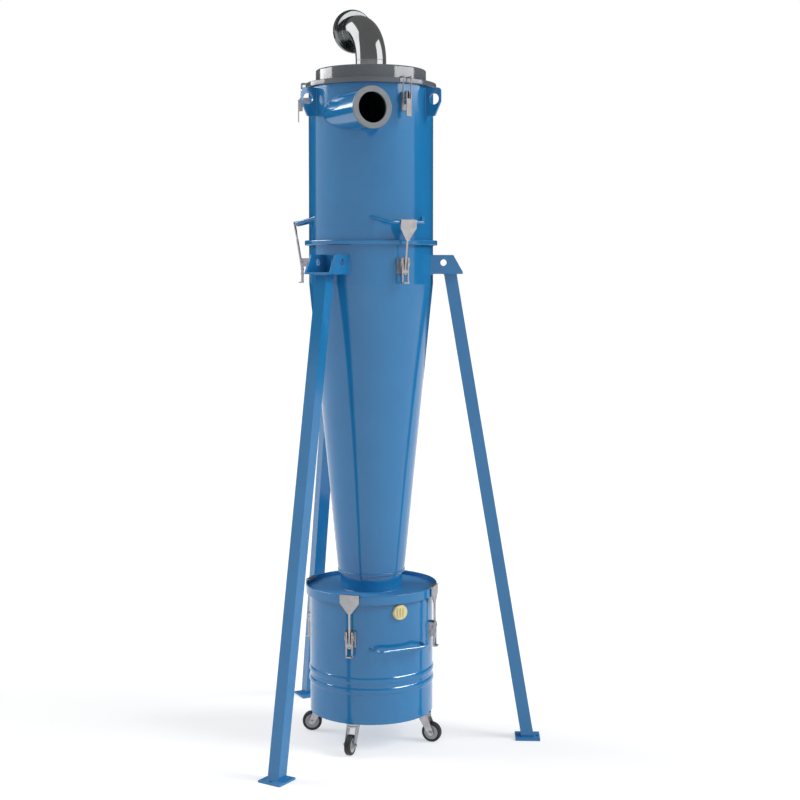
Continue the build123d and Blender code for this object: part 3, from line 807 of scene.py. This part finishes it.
@dataclass
class Shell:
    """Cyclone cylinder, cone and dust collar."""

    radius: float = BODY_R
    low: float = 2026.0
    high: float = 2634.0
    flange_low: float = 2004.0
    cone_top: float = 1852.1
    cone_low: float = 692.1
    cone_end: float = 135.0
    collar: float = 126.0
    cover: float = 618.1
    seam: float = 205.0

    def build(self) -> None:
        """Lays the long seams of the rolled sheets and the round seams of cone and collar."""
        long_seams = [
            Path([spot(self.seam, self.radius, z) for z in (self.low, self.high)]),
            Path([spot(self.seam, self.radius, z) for z in (self.cone_top, self.flange_low)]),
            Path([spot(self.seam, self.cone_end, self.cone_low), spot(self.seam, self.radius, self.cone_top)]),
        ]
        weld("weld_shell_seams", long_seams, 6.0)
        up = Vector((0, 0, 1))
        rounds = [
            circle(spot(0, 0, self.cover), up, self.collar),
            circle(spot(0, 0, self.cone_low + 0.5), up, self.cone_end + 0.2),
        ]
        weld("weld_collar_rounds", rounds, 4.0)


@dataclass
class AirPorts:
    """Tangential inlet with its sleeve and the outlet elbow on the lid."""

    shell: float = BODY_R
    inlet_x: float = -172.0
    inlet_z: float = 2518.1
    inlet_r: float = 70.0
    inlet_end: float = 354.0
    outlet_r: float = 61.5
    lid_top: float = 2704.1
    turn_z: float = 2744.1
    bend: float = 141.0
    outlet_z: float = 2885.1
    seam_sunk: float = 0.6

    def saddle(self) -> Path:
        """Returns the line where the inlet pipe meets the shell."""
        points = []
        for a in turns(160):
            x = self.inlet_x + self.inlet_r * math.cos(a)
            z = self.inlet_z + self.inlet_r * math.sin(a)
            points.append(Vector((x, -math.sqrt(self.shell**2 - x**2), z)) * MM)
        return Path(points, True)

    def build(self) -> None:
        """Builds the welds of both ports and the seams of the elbow."""
        mouth = circle(
            Vector((self.inlet_x, -self.inlet_end, self.inlet_z)) * MM, Vector((0, -1, 0)), self.inlet_r + 0.5
        )
        weld("weld_inlet", [self.saddle(), mouth], 5.0)
        up, back = Vector((0, 0, 1)), Vector((0, 1, 0))
        foot = circle(spot(0, 0, self.lid_top), up, self.outlet_r)
        weld("weld_outlet_foot", [foot], 4.0, "polished_steel")
        seams = [
            circle(spot(0, 0, self.turn_z), up, self.outlet_r - self.seam_sunk),
            circle(Vector((0, self.bend, self.outlet_z)) * MM, back, self.outlet_r - self.seam_sunk),
        ]
        weld("seam_outlet", seams, 2.4, "polished_steel", 3.0)


@dataclass
class Lid:
    """Pressed lid with a rolled edge."""

    edge_r: float = 260.5
    edge_z: float = 2632.1
    edge_thick: float = 2.2

    def build(self) -> None:
        """Builds the rolled edge of the skirt."""
        rolled_edge("lid_rolled_edge", self.edge_r, self.edge_z, self.edge_thick, "grey_paint")


@dataclass
class Frame:
    """Lifting lugs, leg brackets, legs and feet with their welds."""

    shell: float = BODY_R
    lug_stations: tuple[float, ...] = (34.0, 154.0, -86.0)
    lug_half: float = 5.0
    lug_low: float = 2512.1
    lug_top: float = 2622.1
    leg_stations: tuple[float, ...] = (60.0, -60.0, 180.0)
    bracket_low: float = 1892.1
    bracket_top: float = 1968.1
    bracket_half: float = 61.5
    head_r: float = 320.0
    foot_r: float = 638.0
    foot_t: float = 8.0
    leg_half: float = 25.0

    def root(self, station: float, side: float, low: float, high: float) -> Path:
        """Returns the upright line where a plate's side meets the shell."""
        out = math.sqrt(self.shell**2 - side**2)
        return Path([spot(station, out, low, side), spot(station, out, high, side)])

    def square(self, station: float, out: float, up: float) -> Path:
        """Returns the square line round a leg tube at one height."""
        h, slant = self.leg_half + 0.4, 1.02
        corners = ((-h, -h), (h, -h), (h, h), (-h, h))
        return Path([spot(station, out + a * slant, up, b) for a, b in corners], True)

    def build(self) -> None:
        """Builds the welds of lugs, brackets, legs and feet."""
        lugs = [
            self.root(s, side, self.lug_low, self.lug_top)
            for s in self.lug_stations
            for side in (-self.lug_half, self.lug_half)
        ]
        weld("weld_lugs", lugs, 5.0)
        brackets = []
        for s in self.leg_stations:
            for side in (-self.bracket_half, self.bracket_half):
                brackets.append(self.root(s, side, self.bracket_low, self.bracket_top))
            sides = [self.bracket_half * (i / 8 - 1) for i in range(17)]
            brackets.append(
                Path([spot(s, math.sqrt(self.shell**2 - b**2), self.bracket_low, b) for b in sides])
            )
        weld("weld_brackets", brackets, 5.0)
        ends = [self.square(s, self.head_r, self.bracket_low) for s in self.leg_stations]
        ends += [self.square(s, self.foot_r, self.foot_t) for s in self.leg_stations]
        weld("weld_leg_ends", ends, 5.0)


@dataclass
class Bars:
    """Bent round bars on shell and bin: where their ends are welded on."""

    shell: float = BODY_R
    bar_r: float = 7.0
    strike_stations: tuple[float, ...] = BODY_LATCHES
    strike_half: float = 113.3
    strike_z: float = 2112.6
    handle_half: float = 112.3
    handle_z: float = 421.1

    def collar(self, station: float, side: float, up: float) -> Path:
        """Returns the ring line where a bar's end meets the shell."""
        points = []
        for a in turns(24):
            across = side + self.bar_r * math.cos(a)
            out = math.sqrt(self.shell**2 - across**2)
            points.append(spot(station, out, up + self.bar_r * math.sin(a), across))
        return Path(points, True)

    def build(self) -> None:
        """Builds the weld collars of strike bars and handle."""
        paths = [
            self.collar(s, side, self.strike_z)
            for s in self.strike_stations
            for side in (-self.strike_half, self.strike_half)
        ]
        paths += [self.collar(0.0, side, self.handle_z) for side in (-self.handle_half, self.handle_half)]
        weld("weld_bar_ends", paths, 4.0)


@dataclass
class ToggleLatches:
    """One row of toggle latches: rivets, pin heads, thread and nuts."""

    row: str
    stations: tuple[float, ...]
    pivot: float
    low: float
    claw_r: float
    claw_end: float
    shell: float = BODY_R
    height: float = 94.0
    plate_h: float = 62.0
    plate_t: float = 6.0
    ear_out: float = 19.5
    pin_drop: float = 16.0
    trunnion_drop: float = 48.0
    trunnion_h: float = 12.0
    rod_r: float = 4.5
    rivet_half: float = 18.0
    rivet_ups: tuple[float, ...] = (8.0, 20.0)
    crest_count: int = 16
    crest_pitch: float = 1.75

    def rod(self, station: float, share: float) -> Vector:
        """Returns the point a share of the way up the pull rod."""
        foot = self.low + self.height - self.trunnion_drop
        return spot(station, self.pivot + (self.claw_r - self.pivot) * share, foot + (self.claw_end - foot) * share)

    def build(self) -> None:
        """Builds the small parts of every latch in the row."""
        rivets, pins, crests, nuts = [], [], [], []
        top = self.low + self.height
        plate_low, pin_z, foot = top - self.plate_h, top - self.pin_drop, top - self.trunnion_drop
        for s in self.stations:
            for side in (-self.rivet_half, self.rivet_half):
                for up in self.rivet_ups:
                    rivets.append((spot(s, self.shell + self.plate_t, plate_low + up, side), aim(s, 1)))
            for side in (-1, 1):
                pins.append((spot(s, self.pivot, pin_z, side * self.ear_out), aim(s, 0, 0, side)))
            way = (self.rod(s, 1.0) - self.rod(s, 0.0)).normalized()
            for i in range(self.crest_count):
                crests.append((self.rod(s, 0.0) + way * (1 + self.crest_pitch * i) * MM, way))
            nuts.append((spot(s, self.pivot, foot), aim(s, 0, 1)))
            nuts.append((spot(s, self.pivot, foot - self.trunnion_h), aim(s, 0, -1)))
        for title, part, places in (
            ("rivets", rivet_mesh(radius=3.4, height=2.0), rivets),
            ("pin_heads", rivet_mesh(radius=4.6, height=2.2), pins),
            ("threads", thread_mesh(self.rod_r, depth=0.45, pitch=1.6), crests),
            ("nuts", nut_mesh(flats=13.0, height=6.0, bore=4.2), nuts),
        ):
            set_parts(f"{self.row}_latch_{title}", part, places, "zinc_plate")


@dataclass
class LidLatches:
    """Small lid latches: their pin heads."""

    stations: tuple[float, ...] = (4.0, 124.0, -116.0)
    pin_r: float = 280.0
    pin_z: float = 2581.1
    half: float = 11.0

    def build(self) -> None:
        """Builds the pin heads."""
        pins = [
            (spot(s, self.pin_r, self.pin_z, side * self.half), aim(s, 0, 0, side))
            for s in self.stations
            for side in (-1, 1)
        ]
        set_parts("lid_latch_pin_heads", rivet_mesh(radius=4.4, height=2.0), pins, "zinc_plate")


@dataclass
class DustBin:
    """Bin seam, smooth skin of its swage beads, rolled rim of its cover and the screw cap's collar."""

    radius: float = BODY_R
    low: float = 124.1
    seam_top: float = 600.0
    beads_low: float = 236.0
    beads_top: float = 308.0
    bead_heights: tuple[float, ...] = (251.1, 293.1)
    bead_half: float = 13.0
    bead_out: float = 4.0
    skin_over: float = 0.2
    skin_under: float = 1.0
    seam: float = 180.0
    rim_r: float = 264.5
    rim_z: float = 633.1
    rim_thick: float = 2.6
    cap_r: float = 29.5
    cap_z: float = 563.6

    def bead_skins(self) -> None:
        """Lays a fine skin over each swage bead, whose ends dip below the wall's face."""
        shape = bmesh.new()
        bend = (self.bead_half**2 + self.bead_out**2) / (2 * self.bead_out)
        middle = self.radius + self.bead_out - bend
        reach = math.asin(self.bead_half / bend) + math.radians(4)
        angles = [reach * (i / 12 - 1) for i in range(25)]
        over, under = bend + self.skin_over, bend - self.skin_under
        for height in self.bead_heights:
            profile = [(middle + over * math.cos(a), height + over * math.sin(a)) for a in angles]
            profile += [(middle + under * math.cos(a), height + under * math.sin(a)) for a in reversed(angles)]
            lathe(shape, profile, 180, UPRIGHT)
        skins = land("bin_bead_skins", from_bmesh("bin_bead_skins", shape), "blue_paint", "root")
        skins.data.materials[0] = SHOP.mix(BEND_COAT)

    def build(self) -> None:
        """Builds the bin's long seam, bead skins, rim roll and cap collar."""
        self.bead_skins()
        runs = ((self.low, self.beads_low), (self.beads_top, self.seam_top))
        weld("weld_bin_seam", [Path([spot(self.seam, self.radius, z) for z in run]) for run in runs], 5.0)
        rolled_edge("bin_cover_rolled_rim", self.rim_r, self.rim_z, self.rim_thick, "blue_paint")
        shape = bmesh.new()
        place = along(spot(0, self.radius - 1.0, self.cap_z), aim(0, 1))
        r = self.cap_r
        profile = [(r - 1.0, 0.0), (r + 1.2, 0.0), (r + 1.2, 4.0), (r + 0.4, 5.6), (r - 1.0, 5.6)]
        lathe(shape, profile, 64, place)
        land("bin_cap_collar", from_bmesh("bin_cap_collar", shape), "yellow_plastic", "root")


@dataclass
class Caster:
    """One swivel caster: hub rings and axle nuts."""

    side: str
    station: float
    heading: float
    swivel_r: float = 224.0
    trail: float = 34.0
    wheel_r: float = 40.0
    hub_half: float = 10.0
    hub_bevel: float = 0.8
    nut_out: float = 24.5

    def axle(self) -> tuple[Vector, Vector]:
        """Returns the wheel's middle and its axle direction."""
        h = math.radians(self.heading)
        forward = Vector((math.cos(h), math.sin(h), 0))
        middle = spot(self.station, self.swivel_r, self.wheel_r) + forward * self.trail * MM
        return middle, Vector((-math.sin(h), math.cos(h), 0))

    def build(self) -> None:
        """Builds the hub's raised rings on both faces and the axle nuts."""
        middle, way = self.axle()
        shape = bmesh.new()
        for sign in (-1, 1):
            place = along(middle, way * sign)
            face, bevel = self.hub_half, self.hub_bevel
            rim = (23.5, 28.8, face - 1.5, face + 1.6)
            boss = (12.0, 15.0, face - 4.5, face - 1.2)
            for inner, outer, low, high in (rim, boss):
                profile = [(inner, low), (outer, low), (outer, high - bevel), (outer - bevel, high)]
                profile += [(inner + bevel, high), (inner, high - bevel)]
                lathe(shape, profile, 48, place)
        land(f"hub_rings_{self.side}", from_bmesh("hub_rings", shape), "grey_plastic", f"wheel_{self.side}")
        axle_nut = nut_mesh(flats=11.0, height=3.0, bore=0.0)
        nuts = [(middle + way * sign * self.nut_out * MM, way * sign) for sign in (-1, 1)]
        set_parts(f"axle_nuts_{self.side}", axle_nut, nuts, "zinc_plate", f"fork_{self.side}")


@dataclass
class Studio:
    """Pale floor, soft lamps, reflecting tent and the camera of the photograph's view."""

    azimuth: float = -26.3
    distance: float = 5878.0
    height: float = 1920.0
    aside: float = 7.4
    yaw: float = 1.065
    pitch: float = 3.0
    focal_px: float = 1452.4
    image_px: float = 800.0
    shift_px: float = -56.9
    tent_r: float = 14.0
    tent_low: float = 0.2
    tent_edge: float = 4.45
    tent_rise: float = 10.0
    screen_glow: float = 0.02
    roof_glow: float = 0.16
    ambient: float = 0.42
    floor_half: float = 60.0
    box_out: float = 5.0
    box_low: float = 3.25

    def toward(self, turn: float, climb: float = 0.0) -> Vector:
        """Returns the direction at a turn right of the camera's side and a climb, in degrees."""
        a = math.radians(self.azimuth + turn)
        e = math.radians(climb)
        return Vector((math.sin(a) * math.cos(e), -math.cos(a) * math.cos(e), math.sin(e)))

    def camera(self) -> None:
        """Sets up the camera at the photograph's angle."""
        lens = bpy.data.cameras.new("camera")
        lens.sensor_width = 36.0
        lens.lens = self.focal_px / self.image_px * lens.sensor_width
        lens.shift_y = self.shift_px / self.image_px
        lens.clip_end = 100.0
        made = bpy.data.objects.new("camera", lens)
        bpy.context.scene.collection.objects.link(made)
        out, right = self.toward(0), self.toward(90)
        made.location = (out * self.distance + right * self.aside) * MM + Vector((0, 0, self.height * MM))
        look = (Matrix.Rotation(math.radians(-self.yaw), 3, "Z") @ -out).normalized()
        look = look * math.cos(math.radians(self.pitch)) - Vector((0, 0, math.sin(math.radians(self.pitch))))
        made.rotation_mode = "QUATERNION"
        made.rotation_quaternion = look.to_track_quat("-Z", "Y")
        bpy.context.scene.camera = made

    def world(self) -> None:
        """Makes a white background that lights the object at a plain level."""
        world = bpy.data.worlds.new("studio")
        bpy.context.scene.world = world
        world.use_nodes = True
        tree = world.node_tree
        tree.nodes.clear()
        level = self.shown(tree, self.ambient, 1.0)
        sky = add_node(
            tree, "ShaderNodeBackground", feeds={"Color": (1.0, 1.0, 1.0, 1.0), "Strength": level}
        )
        add_node(tree, "ShaderNodeOutputWorld", feeds={"Surface": sky.outputs["Background"]})

    def shown(self, tree: bpy.types.NodeTree, unseen: float, seen: float) -> bpy.types.NodeSocket:
        """Returns a level for what camera, mirror and glass rays see, and another for the light it gives.

        Args:
            tree: node tree that gets the nodes.
            unseen: level for all other rays.
            seen: level for camera, glossy and transmission rays.

        Returns:
            The level's socket.
        """
        ray = add_node(tree, "ShaderNodeLightPath")
        direct = add_node(
            tree,
            "ShaderNodeMath",
            {"operation": "ADD"},
            {0: ray.outputs["Is Camera Ray"], 1: ray.outputs["Is Glossy Ray"]},
        )
        either = add_node(
            tree,
            "ShaderNodeMath",
            {"operation": "ADD", "use_clamp": True},
            {0: direct.outputs[0], 1: ray.outputs["Is Transmission Ray"]},
        )
        level = add_node(
            tree, "ShaderNodeMapRange", feeds={"Value": either.outputs[0], "To Min": unseen, "To Max": seen}
        )
        return level.outputs["Result"]

    def plain(self, title: str, colour: str, glow: float, unseen: float) -> bpy.types.Material:
        """Returns a matt studio material that glows where it is seen, and by another level where it lights."""
        made = bpy.data.materials.new(title)
        made.use_nodes = True
        tree = made.node_tree
        tree.nodes.clear()
        surface = add_node(
            tree,
            "ShaderNodeBsdfPrincipled",
            feeds={
                "Base Color": linear(colour),
                "Roughness": 0.9,
                "Specular IOR Level": 0.0,
                "Emission Color": (1.0, 1.0, 1.0, 1.0),
                "Emission Strength": self.shown(tree, unseen, glow),
            },
        )
        add_node(tree, "ShaderNodeOutputMaterial", feeds={"Surface": surface.outputs["BSDF"]})
        return made

    def floor(self) -> None:
        """Lays the pale floor."""
        mesh = bpy.data.meshes.new("floor")
        size = self.floor_half
        mesh.from_pydata([(-size, -size, 0), (size, -size, 0), (size, size, 0), (-size, size, 0)], [], [(0, 1, 2, 3)])
        mesh.materials.append(self.plain("pale_floor", "#cccccc", 0.5, 0.2))
        made = bpy.data.objects.new("floor", mesh)
        bpy.context.scene.collection.objects.link(made)

    def screen(self, name: str, rows: Sequence[tuple[float, float]], columns: Sequence[float], glow: float) -> None:
        """Hangs a screen that only reflections see.

        Args:
            name: the screen's name.
            rows: radius and height of each row of its grid, in metres.
            columns: degrees right of the camera's side of each column.
            glow: how bright it is.
        """
        shape = bmesh.new()
        grid = []
        for radius, height in rows:
            grid.append([shape.verts.new(self.toward(t) * radius + Vector((0, 0, height))) for t in columns])
        for low, high in zip(grid, grid[1:]):
            for i in range(len(columns) - 1):
                shape.faces.new((low[i], low[i + 1], high[i + 1], high[i]))
        mesh = bpy.data.meshes.new(name)
        shape.to_mesh(mesh)
        shape.free()
        mesh.materials.append(self.plain(name, "#000000", glow, glow))
        made = bpy.data.objects.new(name, mesh)
        bpy.context.scene.collection.objects.link(made)
        made.visible_camera = False
        made.visible_diffuse = False
        made.visible_shadow = False
        made.visible_transmission = False

    def tent(self) -> None:
        """Hangs the dark side and back screens and the dim roof that the gloss reflects."""
        r = self.tent_r
        wall = [(r, self.tent_low), (r, self.tent_edge)]
        self.screen("side_screens", wall, range(86, 239, 4), self.screen_glow)
        climbs = [math.radians(t) for t in range(0, 91, 10)]
        dome = [(r * math.cos(a), self.tent_edge + self.tent_rise * math.sin(a)) for a in climbs]
        self.screen("roof", dome, range(0, 361, 6), self.roof_glow)

    def lamp(self, name: str, turn: float, climb: float, level: float, spread: float) -> None:
        """Hangs a soft far lamp that lights without a reflection of its own.

        Args:
            name: the lamp's name.
            turn: degrees right of the camera's side.
            climb: degrees above the floor.
            level: light on a facing surface, where 1 shows a colour as written.
            spread: its width in degrees.
        """
        light = bpy.data.lights.new(name, "SUN")
        light.energy = level * math.pi
        light.angle = math.radians(spread)
        made = bpy.data.objects.new(name, light)
        bpy.context.scene.collection.objects.link(made)
        made.rotation_mode = "QUATERNION"
        made.rotation_quaternion = self.toward(turn, climb).to_track_quat("Z", "Y")
        made.visible_glossy = False

    def wearers(self, glint: Glint) -> bpy.types.Collection:
        """Gathers the pieces whose finish reflects one kind of soft box."""
        finishes = [*SLOT_FINISHES.values(), *NODE_FINISHES.values()]
        titles = {finish.title for finish in finishes if finish.glint is glint}
        made = bpy.data.collections.new(f"reflects_{glint.name.lower()}_boxes")
        for piece in bpy.context.scene.objects:
            if piece.type == "MESH" and piece.data.materials[0].name in titles:
                made.objects.link(piece)
        return made

    def soft_box(
        self,
        name: str,
        turn: float,
        width: float,
        high: float,
        bright: float,
        wearers: bpy.types.Collection,
    ) -> None:
        """Hangs a soft box that the gloss reflects.

        Args:
            name: the box's name.
            turn: degrees right of the camera's side.
            width: its width in metres.
            high: height of its upper edge in metres.
            bright: its brightness, where 1 is white.
            wearers: the pieces that reflect it.
        """
        low = self.box_low
        light = bpy.data.lights.new(name, "AREA")
        light.shape = "RECTANGLE"
        light.size = width
        light.size_y = high - low
        light.energy = bright * math.pi * width * (high - low)
        made = bpy.data.objects.new(name, light)
        bpy.context.scene.collection.objects.link(made)
        out = self.toward(turn)
        made.location = out * self.box_out + Vector((0, 0, (low + high) / 2))
        made.rotation_mode = "QUATERNION"
        made.rotation_quaternion = out.to_track_quat("Z", "Y")
        made.visible_diffuse = False
        made.light_linking.receiver_collection = wearers

    def build(self) -> None:
        """Sets up floor, tent, lamps, world and camera."""
        bpy.context.scene.view_settings.view_transform = "Standard"
        self.world()
        self.floor()
        self.tent()
        self.lamp("right_lamp", turn=75, climb=35, level=0.6, spread=30)
        self.lamp("left_lamp", turn=-105, climb=35, level=0.38, spread=30)
        self.lamp("front_lamp", turn=-10, climb=35, level=0.04, spread=40)
        for glint in Glint:
            high, right, left = glint.value
            wearers, group = self.wearers(glint), glint.name.lower()
            self.soft_box(f"{group}_right_box", turn=74, width=4.6, high=high, bright=right, wearers=wearers)
            self.soft_box(f"{group}_left_box", turn=-108, width=3.8, high=high, bright=left, wearers=wearers)
        self.camera()


@dataclass
class Separator:
    """The whole machine, built part by part."""

    parts: list[Any] = field(default_factory=list)

    def gather(self) -> None:
        """Lists the sub-assemblies in building order."""
        self.parts = [
            Shell(),
            AirPorts(),
            Lid(),
            Frame(),
            Bars(),
            ToggleLatches("body", BODY_LATCHES, pivot=278.0, low=1861.6, claw_r=296.4, claw_end=2020.4),
            ToggleLatches("bin", CORNERS, pivot=269.0, low=397.6, claw_r=269.0, claw_end=561.0),
            LidLatches(),
            DustBin(),
        ]
        sides, headings = ("right", "back", "front", "left"), (-48.0, 70.0, -137.0, 153.0)
        self.parts += [Caster(*facts) for facts in zip(sides, CORNERS, headings)]

    def build(self) -> None:
        """Dresses the CAD nodes and builds every sub-assembly."""
        SHOP.dress_nodes()
        self.gather()
        for part in self.parts:
            LOG.info("building %s", type(part).__name__)
            part.build()


def main() -> None:
    """Builds the separator and its studio."""
    logging.basicConfig(level=logging.INFO, format="%(name)s: %(message)s")
    Separator().build()
    Studio().build()


if __name__ == "__main__":
    main()
